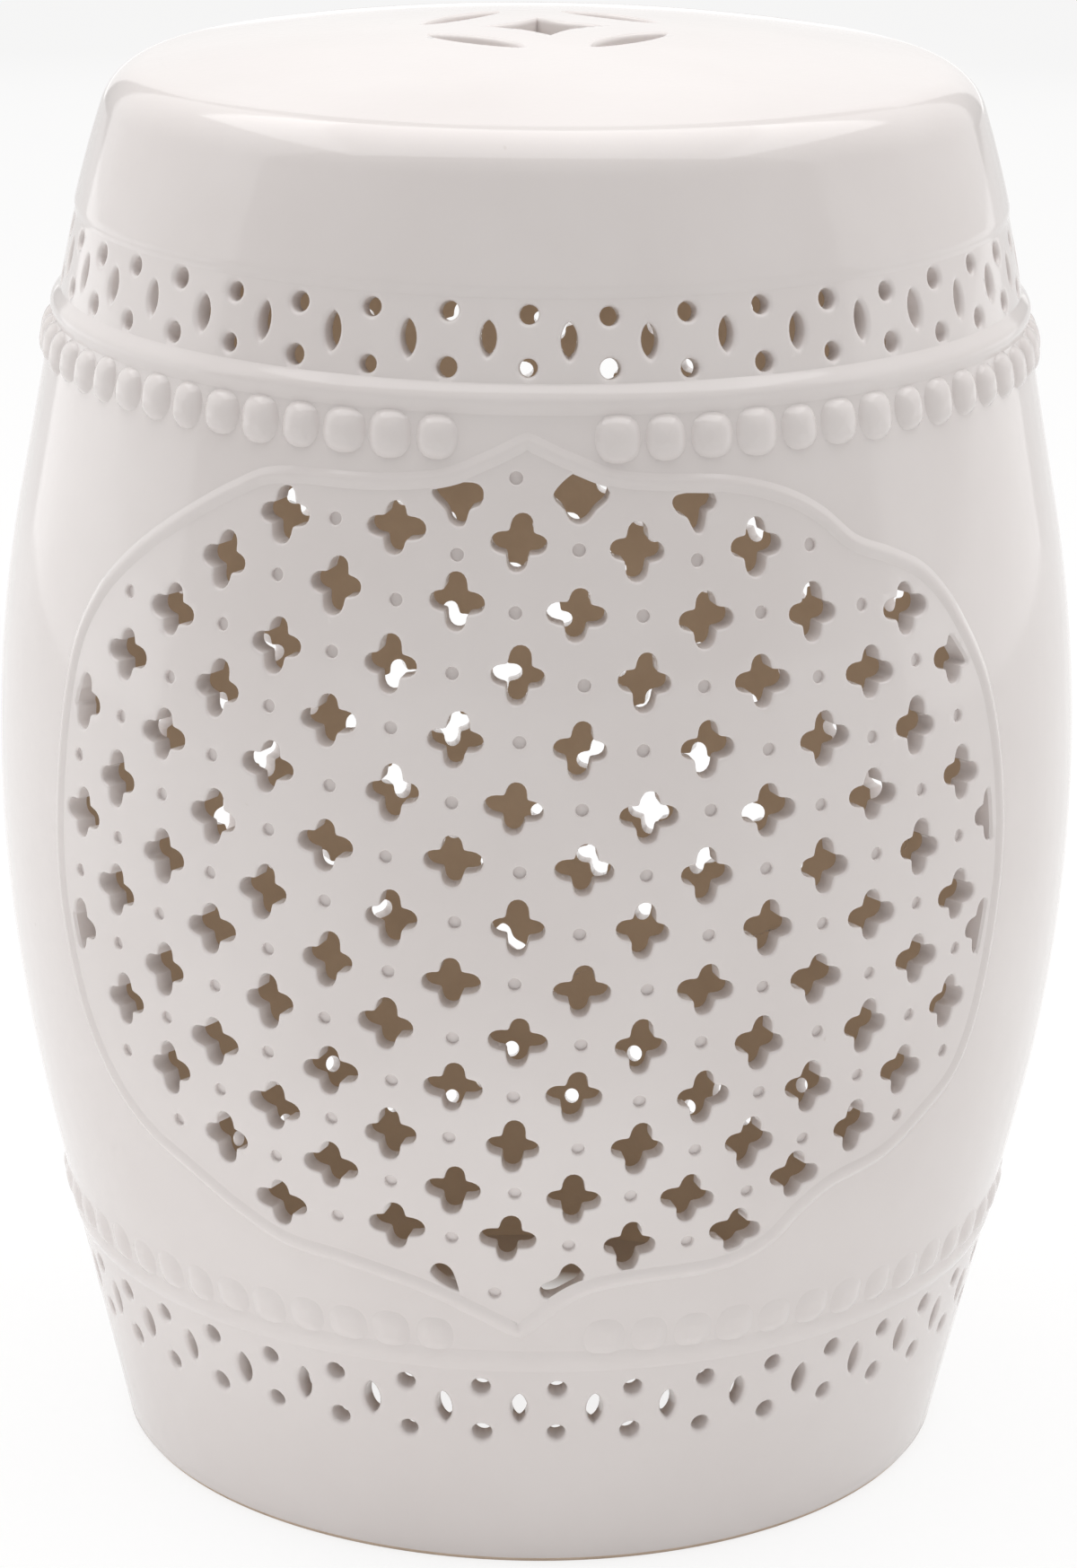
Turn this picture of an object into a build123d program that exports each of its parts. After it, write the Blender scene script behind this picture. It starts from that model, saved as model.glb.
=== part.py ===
from build123d import *
from math import asin, cos, degrees, radians, sin, tan
import os

# Barrel-shaped ceramic garden stool. Millimetres, +Z up, front panel towards -Y.
# The origin is the centre of the foot, on the floor.

# Driving sizes
stool_height = 457.0
wall = 6.5
belly_radius = 171.9
belly_height = 222.0
belly_bow = 490.0
foot_lean = 12.7
neck_lean = 10.8
neck_top = 380.0
shoulder_bow = 428.0
shoulder_lean = 18.0
rim_round = 18.0
dome_bow = 702.0
foot_bevel = 2.0

# The curved stretches are worked in short chords, so that every wall is a plain cone
bow_chords = 8
curl_chords = 3
dome_chords = 6

# Joints between the luted clay sections
foot_top = 42.0
lower_joint = 74.0
upper_joint = 373.5
band_top = 401.0
seat_radius = 118.0
ledge_width = 8.0
ledge_depth = 3.2

# Ring mouldings that cover the joints
band_recess = 0.8
upper_ring_height = 8.4
upper_ring_proud = 1.5
lower_ring_height = 7.2
lower_ring_proud = 0.8

# Pierced bands
band_repeats = 40
band_flats = 2 * band_repeats
round_hole = 6.2
lens_width = 5.4
lens_height = 11.2
upper_rows = (397.0, 381.7)
upper_lens_height = 389.2
lower_rows = (65.2, 48.8)
lower_lens_height = 57.8

# Bead rows, which leave the panel peaks free
bead_width = 11.6
bead_height = 12.8
bead_proud = 1.8
bead_root = 1.0
bead_slope = 45.0
bead_first = 9.6
bead_pitch = 5.187
beads_in_row = 32
upper_bead_height = 362.6
lower_bead_height = 84.2

# Lattice panels
panel_near = 60.0
panel_far = 190.0
panel_half_width = 168.0
panel_half_height = 128.0
panel_middle = 224.0
frame_half_width = 1.9
frame_proud = 1.2
lattice_margin = 4.0
lattice_columns = 8
lattice_rows = 6
lattice_azimuth = -0.4
lattice_middle = 220.8
column_pitch = 6.33
column_drop = 1.12
row_pitch = 17.9
columns_crowd = 0.018
rows_lean = 0.013
columns_sag = 0.046
rows_open = 0.153
lattice_tilt = 3.6
hand_turn = 3.0
lobe_reach = 8.2
lobe_half_width = 2.1
lobe_root = 3.3

# Crosses squeezed in along the frame, which cuts them short, as azimuth and height
edge_crosses = [(-7.2, 345), (5.7, 346.3), (17.8, 343), (54.2, 236), (53.6, 201), (4.8, 104.7), (-8.1, 105)]

# Seat piercing, a coin motif of four petals round a diamond
coin_turn = 8.0
petal_place = 33.0
petal_length = 31.0
petal_width = 8.4
diamond_reach = 15.0
diamond_waist = 7.0

# Edge of the cartouche from its peak down to its tip, as azimuth and height
right_edge = [
    (0, 362), (5, 355.8), (10.5, 350.8), (21, 348.5), (27.5, 343.8), (32, 337), (36, 327.5), (41, 321.5),
    (45.6, 314), (50, 298.5), (54.3, 272), (56.3, 228), (54.8, 183), (52, 157), (47, 144.5), (41.5, 134.5),
    (35, 129.5), (31, 122), (27.5, 112.5), (22, 107), (12, 105.2), (6, 100.5), (0, 86.5),
]
left_edge = [
    (0, 362), (-4.5, 355.8), (-9, 351), (-16, 348.6), (-27, 347.5), (-32.5, 341.5), (-40, 328.8),
    (-46.5, 315), (-51.5, 299.5), (-54.6, 279), (-55.9, 240), (-55.7, 205), (-53.2, 171), (-49.3, 150),
    (-44.5, 137), (-38, 127.6), (-32, 118), (-26.4, 110.8), (-19.4, 107.7), (-11, 101.5), (-5, 94), (0, 86.5),
]


def arc_point(centre, radius, lean):
    return (centre[0] + radius * cos(radians(lean)), centre[1] + radius * sin(radians(lean)))


# Side profile, worked out from the driving sizes
bow_centre = (belly_radius - belly_bow, belly_height)
foot_bend = arc_point(bow_centre, belly_bow, -foot_lean)
neck_bend = arc_point(bow_centre, belly_bow, neck_lean)
neck_end = (neck_bend[0] - (neck_top - neck_bend[1]) * tan(radians(neck_lean)), neck_top)
shoulder_centre = arc_point(neck_end, -shoulder_bow, neck_lean)
dome_centre = stool_height - dome_bow
below_floor = -3 * wall
over_top = stool_height + 3 * wall


def dome_at(radius, grow=0.0):
    return dome_centre + ((dome_bow + grow) ** 2 - radius**2) ** 0.5


def outside_at(height):
    # radius of the outer wall, and the angle that it leans outwards going up
    if height < foot_bend[1]:
        return foot_bend[0] - (foot_bend[1] - height) * tan(radians(foot_lean)), foot_lean
    if height < neck_bend[1]:
        rise = degrees(asin((height - belly_height) / belly_bow))
        return arc_point(bow_centre, belly_bow, rise)[0], -rise
    if height < neck_top:
        return neck_bend[0] - (height - neck_bend[1]) * tan(radians(neck_lean)), -neck_lean
    rise = degrees(asin((height - shoulder_centre[1]) / shoulder_bow))
    return arc_point(shoulder_centre, shoulder_bow, rise)[0], -rise


def half_section(grow=0.0):
    # half section of the body, or of a surface parallel to it, running on below the floor
    bow = belly_bow + grow
    curl = shoulder_bow + grow
    foot_start = arc_point(bow_centre, bow, -foot_lean)
    low = (foot_start[0] - (foot_start[1] - below_floor) * tan(radians(foot_lean)), below_floor)
    corner = arc_point(shoulder_centre, curl, shoulder_lean)
    while corner[1] < dome_at(corner[0], grow):
        corner = (corner[0] - 0.01 * tan(radians(shoulder_lean)), corner[1] + 0.01)
    outline = [(0, below_floor), low]
    for index in range(bow_chords + 1):
        outline.append(arc_point(bow_centre, bow, -foot_lean + (foot_lean + neck_lean) * index / bow_chords))
    for index in range(curl_chords + 1):
        lean = neck_lean + (shoulder_lean - neck_lean) * index / curl_chords
        outline.append(arc_point(shoulder_centre, curl, lean))
    for index in range(dome_chords):
        radius = corner[0] * (1 - index / dome_chords)
        outline.append((radius, dome_at(radius, grow)))
    outline.append((0, stool_height + grow))
    half = make_face(Polyline(*outline, close=True))
    rim = half.vertices().sort_by_distance((corner[0], corner[1], 0))[0]
    return fillet(rim, rim_round + grow)


def strip(low, high, inner=0.0, outer=300.0):
    return Pos((inner + outer) / 2, (low + high) / 2) * Rectangle(outer - inner, high - low)


def turned(face):
    return revolve(Plane.XZ * face, Axis.Z)


def on_wall(azimuth, height, turn=0.0):
    # plane on the outer wall: X along the wall, Y up it, Z outwards
    radius, lean = outside_at(height)
    out = Vector(sin(radians(azimuth)), -cos(radians(azimuth)))
    along = Vector(cos(radians(azimuth)), sin(radians(azimuth)))
    normal = out * cos(radians(lean)) - Vector(0, 0, sin(radians(lean)))
    return Plane(out * radius + Vector(0, 0, height), x_dir=along, z_dir=normal).rotated((0, 0, turn))


def punch(plane, shape):
    # cutter that goes right through the wall
    return extrude(plane * Pos(0, 0, wall / 3) * shape, -1.7 * wall)


def cartouche(grow=0.0):
    # prism over the panel outline whose sides run along radii from the axis
    wide = 1 + grow / panel_half_width
    tall = 1 + grow / panel_half_height
    ends = []
    for distance in (panel_near, panel_far):
        edges = []
        for points in (right_edge, left_edge):
            spread = [
                (distance * tan(radians(azimuth * wide)), panel_middle + (height - panel_middle) * tall)
                for azimuth, height in points
            ]
            steps = [index / (len(points) - 1) for index in range(len(points))]
            edges.append(Edge.make_spline(spread, parameters=steps))
        ends.append(Plane.XZ.offset(distance) * make_face(edges))
    return loft(ends, ruled=True)


def quatrefoil():
    corner = []
    for turn in (0, 90, 180, 270):
        for x, y in ((lobe_root, lobe_root), (lobe_half_width, lobe_reach), (-lobe_half_width, lobe_reach)):
            point = Vector(x, y).rotate(Axis.Z, turn)
            corner.append((point.X, point.Y))
    return make_face(Polyline(*corner, close=True))


def lens(width, height):
    x, y = width / 2, height / 6
    corner = [(0, height / 2), (x, y), (x, -y), (0, -height / 2), (-x, -y), (-x, y)]
    return make_face(Polyline(*corner, close=True))


def lattice_places():
    # staggered rows and columns, laid out by eye on a wall that curves both ways
    places = list(edge_crosses)
    for column in range(-lattice_columns, lattice_columns + 1):
        for row in range(-lattice_rows, lattice_rows + 1):
            if (column + row) % 2 == 0:
                azimuth = lattice_azimuth + column_pitch * column
                azimuth -= columns_crowd * column**2 + rows_lean * row**2
                height = lattice_middle - column_drop * column + row_pitch * row
                height += columns_sag * column**2 + rows_open * row**2
                places.append((azimuth, height))
    return places


def lattice_holes():
    cutters = []
    motif = quatrefoil()
    inside = cartouche(-lattice_margin)
    clear = cartouche(-lattice_margin - lobe_reach)
    for azimuth, height in lattice_places():
        plane = on_wall(azimuth, height, hand_turn * sin(azimuth + height) - lattice_tilt)
        if clear.is_inside(plane.origin):
            cutters.append(punch(plane, motif))
        elif inside.is_inside(plane.origin):
            cutters.append(punch(plane, motif) & inside)
    return cutters


def band_ring(low, high, recess):
    # ring of narrow flats, one for each pair of round holes and one for each lens
    skins = []
    for depth in (recess, recess + wall):
        ends = []
        for height in (low, high):
            radius, lean = outside_at(height)
            flats = RegularPolygon(radius - depth / cos(radians(lean)), band_flats, major_radius=False)
            ends.append(Pos(0, 0, height) * Rot(0, 0, 180 / band_flats) * flats)
        skins.append(loft(ends, ruled=True))
    return skins[0] - skins[1]


def band_holes(rows, lens_row, start):
    cutters = []
    step = 360 / band_repeats
    drop = RegularPolygon(round_hole / 2, 6)
    slot = lens(lens_width, lens_height)
    for index in range(band_repeats):
        for height in rows:
            cutters.append(punch(on_wall(start + step * index, height), drop))
        cutters.append(punch(on_wall(start + step * (index + 0.5), lens_row), slot))
    return cutters


def bead_row(height, side):
    wide = bead_width / 2 + bead_root
    tall = bead_height / 2 + bead_root
    flat = wide / 2
    corner = [(wide, 0), (flat, tall), (-flat, tall), (-wide, 0), (-flat, -tall), (flat, -tall)]
    pad = Pos(0, 0, -bead_root) * make_face(Polyline(*corner, close=True))
    beads = []
    for index in range(beads_in_row):
        plane = on_wall(side * (bead_first + bead_pitch * index), height)
        beads.append(extrude(plane * pad, bead_root + bead_proud, taper=bead_slope) - body)
    return Compound(children=beads)


def ring_moulding(height, ring_height, proud, backing):
    radius, lean = outside_at(height)
    corner = [(-proud, -ring_height / 2)]
    for turn in (-90, -45, 0, 45, 90):
        corner.append((proud * cos(radians(turn)), ring_height / 2 * sin(radians(turn))))
    corner.append((-proud, ring_height / 2))
    bulge = Pos(radius, height) * Rot(0, 0, -lean) * make_face(Polyline(*corner, close=True))
    return turned(bulge - backing)


def seat_holes():
    petal_arc = [
        ThreePointArc((-petal_length / 2, 0), (0, petal_width / 2), (petal_length / 2, 0)),
        ThreePointArc((petal_length / 2, 0), (0, -petal_width / 2), (-petal_length / 2, 0)),
    ]
    petal = make_face(petal_arc)
    tips = [(diamond_reach, 0), (0, diamond_reach), (-diamond_reach, 0), (0, -diamond_reach)]
    waist = diamond_waist * 0.5**0.5
    middles = [(waist, waist), (-waist, waist), (-waist, -waist), (waist, -waist)]
    shapes = [make_face([ThreePointArc(tips[i - 1], middles[i - 1], tips[i]) for i in range(4)])]
    for index in range(4):
        turn = 45 + 90 * index
        shapes.append(Rot(0, 0, turn) * Pos(petal_place, 0) * Rot(0, 0, 90) * petal)
    return [extrude(Pos(0, 0, over_top) * Rot(0, 0, coin_turn) * shape, -6 * wall) for shape in shapes]


section = half_section()
hollow = half_section(-wall)
recessed = half_section(-band_recess)
body = turned(section)
clay = section - hollow
ledge_height = dome_at(seat_radius) - ledge_depth
seat_zone = strip(band_top, over_top, 0, seat_radius - ledge_width)
seat_zone += strip(ledge_height, over_top, 0, seat_radius)
print("profile done")

nodes = {}
foot = turned(clay & strip(0, foot_top))
foot_edge = foot.edges().filter_by(GeomType.CIRCLE).group_by(Axis.Z)[0].sort_by(SortBy.RADIUS)[-1]
nodes["foot_wall"] = chamfer(foot_edge, foot_bevel)
lower_band = band_ring(foot_top, lower_joint, 0)
nodes["lower_pierced_band"] = lower_band - band_holes(lower_rows, lower_lens_height, 180 / band_repeats)
upper_band = band_ring(upper_joint, band_top, band_recess)
nodes["upper_pierced_band"] = upper_band - band_holes(upper_rows, upper_lens_height, 0)
nodes["shoulder_wall"] = turned((clay & strip(band_top, over_top)) - seat_zone)
nodes["seat_disc"] = turned(clay & seat_zone) - seat_holes()
print("rings done")

opening = cartouche()
belly = turned(clay & strip(lower_joint, upper_joint))
half_turn = Rot(0, 0, 180)
sides = belly - [opening, half_turn * opening]
for name, side in (("left", -1), ("right", 1)):
    half_space = Pos(side * 200, 0, belly_height) * Box(400, 500, 500)
    nodes[name + "_side_wall"] = sides & half_space
panel = (belly & opening) - lattice_holes()
skin = turned((half_section(frame_proud) - section) & strip(lower_joint, upper_joint))
frame = (skin & cartouche(frame_half_width)) - cartouche(-frame_half_width)
for name, turn in (("front", 0), ("rear", 180)):
    nodes[name + "_lattice_panel"] = Rot(0, 0, turn) * panel
    nodes[name + "_panel_frame"] = Rot(0, 0, turn) * frame
print("panels done")

upper_backing = (section & strip(below_floor, upper_joint)) + (recessed & strip(upper_joint, over_top))
nodes["upper_ring_moulding"] = ring_moulding(upper_joint, upper_ring_height, upper_ring_proud, upper_backing)
nodes["lower_ring_moulding"] = ring_moulding(lower_joint, lower_ring_height, lower_ring_proud, section)
for level, height in (("upper", upper_bead_height), ("lower", lower_bead_height)):
    for name, side in (("left", -1), ("right", 1)):
        nodes[level + "_bead_row_" + name] = bead_row(height, side)

os.makedirs("parts", exist_ok=True)
for name, shape in nodes.items():
    export_step(shape, "parts/" + name + ".step")
    print(name, len(shape.solids()), "solids,", round(shape.volume / 1000, 1), "cm3")
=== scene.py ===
import bpy
import bmesh
from math import asin, atan2, cos, degrees, hypot, pi, radians, sin, sqrt, tan
from mathutils import Matrix, Vector


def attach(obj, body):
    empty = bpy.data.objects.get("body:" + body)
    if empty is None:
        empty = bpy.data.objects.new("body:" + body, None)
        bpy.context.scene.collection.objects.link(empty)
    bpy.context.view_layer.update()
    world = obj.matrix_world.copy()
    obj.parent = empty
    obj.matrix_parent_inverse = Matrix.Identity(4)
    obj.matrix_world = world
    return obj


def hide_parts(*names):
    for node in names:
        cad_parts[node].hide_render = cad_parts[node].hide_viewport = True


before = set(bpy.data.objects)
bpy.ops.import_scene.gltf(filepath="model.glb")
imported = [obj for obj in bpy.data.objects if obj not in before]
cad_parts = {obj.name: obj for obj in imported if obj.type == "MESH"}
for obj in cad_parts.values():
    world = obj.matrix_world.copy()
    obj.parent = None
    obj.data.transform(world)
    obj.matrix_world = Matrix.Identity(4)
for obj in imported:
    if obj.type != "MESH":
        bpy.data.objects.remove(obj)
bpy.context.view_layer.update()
scene = bpy.context.scene
mm = 0.001
print("frame loaded:", len(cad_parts), "nodes")

# barrel that every piece is laid on, in millimetres and degrees
barrel = {
    "height": 457.0,
    "wall": 6.5,
    "bellyRadius": 171.9,
    "bellyHeight": 222.0,
    "bellyBow": 490.0,
    "footLean": 12.7,
    "neckLean": 10.8,
    "neckTop": 380.0,
    "shoulderBow": 428.0,
    "shoulderLean": 18.0,
    "rimRound": 18.0,
    "rimSteps": 16,
    "domeBow": 702.0,
    "wallTop": 440.0,  # the wall's own curve is followed up to here
    "uneven": 0.22,  # how far the hand-made wall wanders
    "meshStep": 2.3,
    "sliceSteps": 30,
}


def arcPoint(centre, radius, lean):
    return (centre[0] + radius * cos(radians(lean)), centre[1] + radius * sin(radians(lean)))


bowCentre = (barrel["bellyRadius"] - barrel["bellyBow"], barrel["bellyHeight"])
footBend = arcPoint(bowCentre, barrel["bellyBow"], -barrel["footLean"])
neckBend = arcPoint(bowCentre, barrel["bellyBow"], barrel["neckLean"])
neckSlope = tan(radians(barrel["neckLean"]))
neckEnd = (neckBend[0] - (barrel["neckTop"] - neckBend[1]) * neckSlope, barrel["neckTop"])
curlCentre = arcPoint(neckEnd, -barrel["shoulderBow"], barrel["neckLean"])
curlEnd = arcPoint(curlCentre, barrel["shoulderBow"], barrel["shoulderLean"])
domeCentre = barrel["height"] - barrel["domeBow"]


def wallAt(height):  # outer radius, and how far the wall leans out going up
    if height < footBend[1]:
        return footBend[0] - (footBend[1] - height) * tan(radians(barrel["footLean"])), barrel["footLean"]
    if height < neckBend[1]:
        rise = degrees(asin((height - barrel["bellyHeight"]) / barrel["bellyBow"]))
        return arcPoint(bowCentre, barrel["bellyBow"], rise)[0], -rise
    if height < barrel["neckTop"]:
        return neckBend[0] - (height - neckBend[1]) * neckSlope, -barrel["neckLean"]
    rise = degrees(asin((height - curlCentre[1]) / barrel["shoulderBow"]))
    return arcPoint(curlCentre, barrel["shoulderBow"], rise)[0], -rise


def domeAt(radius):
    return domeCentre + sqrt(barrel["domeBow"] ** 2 - radius**2)


def wallPoint(azimuth, height, out):
    radius, lean = wallAt(height)
    reach = radius + out * cos(radians(lean))
    turn = radians(azimuth)
    return Vector((sin(turn) * reach, -cos(turn) * reach, height - out * sin(radians(lean)))) * mm


def rimLine(start, step):  # shoulder, rounded rim and the dome as far in as the seat joint
    line = []
    count = int((curlEnd[1] - start) / step) + 1
    for i in range(count):
        height = start + (curlEnd[1] - start) * i / count
        line.append((wallAt(height)[0], height))
    lean = radians(barrel["shoulderLean"])
    along = (-sin(lean), cos(lean))
    rimRadius = barrel["rimRound"]
    reach = barrel["domeBow"] - rimRadius
    base = (curlEnd[0] - cos(lean) * rimRadius, curlEnd[1] - sin(lean) * rimRadius - domeCentre)
    dot = base[0] * along[0] + base[1] * along[1]
    run = -dot + sqrt(dot * dot - base[0] ** 2 - base[1] ** 2 + reach**2)
    centre = (base[0] + along[0] * run, base[1] + along[1] * run + domeCentre)
    count = int(run / step) + 1
    for i in range(count):
        line.append((curlEnd[0] + along[0] * run * i / count, curlEnd[1] + along[1] * run * i / count))
    top = degrees(atan2(centre[1] - domeCentre, centre[0]))
    for i in range(barrel["rimSteps"] + 1):
        turn = barrel["shoulderLean"] + (top - barrel["shoulderLean"]) * i / barrel["rimSteps"]
        line.append(arcPoint(centre, rimRadius, turn))
    return line


# materials
materials = {}


def newMaterial(name):
    material = bpy.data.materials.new(name)
    material.use_nodes = True
    tree = material.node_tree
    shader = tree.nodes["Principled BSDF"]
    place = tree.nodes.new("ShaderNodeTexCoord").outputs["Object"]
    materials[name] = material
    return tree, shader, place


def noise(tree, place, scale, detail=3.0, rough=0.5):
    node = tree.nodes.new("ShaderNodeTexNoise")
    node.inputs["Scale"].default_value = scale
    node.inputs["Detail"].default_value = detail
    node.inputs["Roughness"].default_value = rough
    tree.links.new(place, node.inputs["Vector"])
    return node.outputs["Fac"]


def spread(tree, value, low, high, toLow, toHigh):
    node = tree.nodes.new("ShaderNodeMapRange")
    node.inputs["From Min"].default_value = low
    node.inputs["From Max"].default_value = high
    node.inputs["To Min"].default_value = toLow
    node.inputs["To Max"].default_value = toHigh
    tree.links.new(value, node.inputs["Value"])
    return node.outputs["Result"]


def blendColours(tree, value, first, second):
    node = tree.nodes.new("ShaderNodeMix")
    node.data_type = "RGBA"
    tree.links.new(value, node.inputs["Factor"])
    for socket, colour in ((node.inputs["A"], first), (node.inputs["B"], second)):
        if isinstance(colour, tuple):
            socket.default_value = (*colour, 1)
        else:
            tree.links.new(colour, socket)
    return node.outputs["Result"]


def maths(tree, operation, *values):
    node = tree.nodes.new("ShaderNodeMath")
    node.operation = operation
    for socket, value in zip(node.inputs, values):
        if isinstance(value, float):
            socket.default_value = value
        else:
            tree.links.new(value, socket)
    return node.outputs["Value"]


def bump(tree, height, distance, strength, below=None):
    node = tree.nodes.new("ShaderNodeBump")
    node.inputs["Strength"].default_value = strength
    node.inputs["Distance"].default_value = distance
    tree.links.new(height, node.inputs["Height"])
    if below:
        tree.links.new(below, node.inputs["Normal"])
    return node.outputs["Normal"]


glaze = {
    "thick": (0.80, 0.750, 0.735),
    "thin": (0.84, 0.794, 0.78),
    "speck": (0.50, 0.43, 0.36),
    "roughness": (0.07, 0.11),
    "wave": 0.0012,
    "skin": 0.00005,
}


def makeGlaze():
    tree, shader, place = newMaterial("whiteGlaze")
    cloud = spread(tree, noise(tree, place, 11.0, 4.0), 0.35, 0.65, 0.0, 1.0)
    tone = blendColours(tree, cloud, glaze["thick"], glaze["thin"])
    speck = spread(tree, noise(tree, place, 170.0, 1.0), 0.83, 0.87, 0.0, 0.3)  # rare iron specks
    tree.links.new(blendColours(tree, speck, tone, glaze["speck"]), shader.inputs["Base Color"])
    gloss = spread(tree, noise(tree, place, 60.0, 3.0), 0.3, 0.7, *glaze["roughness"])
    tree.links.new(gloss, shader.inputs["Roughness"])
    wave = bump(tree, noise(tree, place, 17.0, 1.0), glaze["wave"], 0.6)
    skin = bump(tree, noise(tree, place, 420.0, 2.0), glaze["skin"], 0.4, wave)
    tree.links.new(skin, shader.inputs["Normal"])
    shader.inputs["IOR"].default_value = 1.5
    shader.inputs["Coat Weight"].default_value = 0.25
    shader.inputs["Coat Roughness"].default_value = 0.05


innerClay = {
    "dark": (0.42, 0.315, 0.22),
    "light": (0.50, 0.385, 0.275),
    "cloud": 28.0,
    "roughness": (0.80, 0.95),
    "grain": 0.0004,
    "grainNoise": (300.0, 4.0),  # scale and detail
}
footClay = {
    "dark": (0.62, 0.49, 0.38),
    "light": (0.74, 0.61, 0.50),
    "cloud": 90.0,
    "roughness": (0.75, 0.95),
    "grain": 0.0003,
    "grainNoise": (700.0, 3.0),
}


def makeClay(name, clay):
    tree, shader, place = newMaterial(name)
    cloud = spread(tree, noise(tree, place, clay["cloud"], 5.0, 0.6), 0.3, 0.7, 0.0, 1.0)
    tone = blendColours(tree, cloud, clay["dark"], clay["light"])
    tree.links.new(tone, shader.inputs["Base Color"])
    tree.links.new(spread(tree, cloud, 0.0, 1.0, *clay["roughness"]), shader.inputs["Roughness"])
    grain = bump(tree, noise(tree, place, *clay["grainNoise"]), clay["grain"], 0.5)
    tree.links.new(grain, shader.inputs["Normal"])


makeGlaze()
makeClay("innerClay", innerClay)
makeClay("footClay", footClay)
print("materials made")


# tools that the pieces share
def uneven(bm):  # the wall of a hand-made barrel is never quite round
    for v in bm.verts:
        x, y, z = v.co
        turn = atan2(x, -y)
        wander = sin(3 * turn + 21 * z) + 0.7 * sin(5 * turn - 13 * z + 1.0)
        wander += 0.8 * sin(2 * turn + 35 * z + 2.0)
        share = min(1.0, hypot(x, y) / 0.1)
        grow = 1 + barrel["uneven"] * mm * share * wander / max(0.02, hypot(x, y))
        v.co = (x * grow, y * grow, z)


def spun(section, doublings):  # closed ring or disc turned from its half section, one slice doubled up
    bm = bmesh.new()
    line = [bm.verts.new((0, -radius * mm, height * mm)) for radius, height in section]
    edges = [bm.edges.new((line[i - 1], line[i])) for i in range(len(line)) if i or section[0][0] > 0]
    part = 2 * pi / 2**doublings
    steps = barrel["sliceSteps"]
    bmesh.ops.spin(bm, geom=line + edges, cent=(0, 0, 0), axis=(0, 0, 1), angle=part, steps=steps)
    for i in range(doublings):
        made = bmesh.ops.duplicate(bm, geom=bm.verts[:] + bm.edges[:] + bm.faces[:])
        copies = [v for v in made["geom"] if isinstance(v, bmesh.types.BMVert)]
        bmesh.ops.rotate(bm, cent=(0, 0, 0), matrix=Matrix.Rotation(part * 2**i, 3, "Z"), verts=copies)
    bmesh.ops.remove_doubles(bm, verts=bm.verts, dist=2e-6)
    bmesh.ops.recalc_face_normals(bm, faces=bm.faces)
    return bm


def wallRun(low, high, step, out=lambda height: 0.0):
    count = max(1, round((high - low) / step))
    line = []
    for i in range(count + 1):
        height = low + (high - low) * i / count
        radius, lean = wallAt(height)
        line.append((radius + out(height) / cos(radians(lean)), height))
    return line


def shellSection(low, high, step, innerStep, out=lambda height: 0.0):
    inside = wallRun(low, high, innerStep, lambda height: -barrel["wall"])
    return wallRun(low, high, step, out) + inside[::-1]


def asObject(name, bm):
    mesh = bpy.data.meshes.new(name)
    bm.to_mesh(mesh)
    bm.free()
    thing = bpy.data.objects.new(name, mesh)
    scene.collection.objects.link(thing)
    return thing


def combine(bm, knives, operation):
    clay = asObject("clay", bm)
    blade = asObject("blade", knives)
    step = clay.modifiers.new("cut", "BOOLEAN")
    step.operation = operation
    step.solver = "MANIFOLD"
    step.object = blade
    depsgraph = bpy.context.evaluated_depsgraph_get()
    made = bpy.data.meshes.new_from_object(clay.evaluated_get(depsgraph))
    result = bmesh.new()
    result.from_mesh(made)
    for thing in (clay, blade):
        mesh = thing.data
        bpy.data.objects.remove(thing)
        bpy.data.meshes.remove(mesh)
    bpy.data.meshes.remove(made)
    return result


def finishPiece(name, bm, node, slots, sharp=38):
    uneven(bm)
    piece = asObject(name, bm)
    for slotName in slots:
        piece.data.materials.append(materials[slotName])
    piece.data.shade_smooth()
    piece.data.set_sharp_from_angle(angle=radians(sharp))
    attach(piece, "root")
    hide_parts(node)
    print(name, len(piece.data.polygons), "faces")


def markInside(bm):  # faces that look towards the axis or down are bare clay
    for face in bm.faces:
        middle = face.calc_center_median()
        radius = hypot(middle.x, middle.y)
        towards = (face.normal.x * middle.x + face.normal.y * middle.y) / max(radius, 1e-6)
        depth = wallAt(min(middle.z / mm, barrel["wallTop"]))[0] - radius / mm
        if depth > 0.85 * barrel["wall"] and (towards < -0.5 or face.normal.z < -0.5):
            face.material_index = 1


# knives for the pierced holes, flat, with a mouth that rolls over into the glaze
knife = {
    "above": 0.8,  # start over the wall
    "flare": 0.9,  # how much wider it is there
    "depth": 13.0,
    "rollSteps": 5,
}


def grown(corners, width):  # outline pushed out by a width, kept on the same rays from its middle
    points = [Vector(corner) for corner in corners]
    line = []
    for point in points:
        ray = point.normalized()
        reach = 0.0
        for i in range(len(points)):
            start, end = points[i - 1], points[i]
            side = (end - start).normalized()
            pushed = start + Vector((side.y, -side.x)) * width
            if abs(ray.cross(side)) > 1e-6:
                far = pushed.cross(side) / ray.cross(side)
                if -1e-6 < (ray * far - pushed).dot(side) < (end - start).length + 1e-6:
                    reach = max(reach, far)
            off = start.cross(ray)
            if abs(off) < width:
                reach = max(reach, start.dot(ray) + sqrt(width * width - off * off))
        line.append(ray * reach)
    return line


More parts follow.
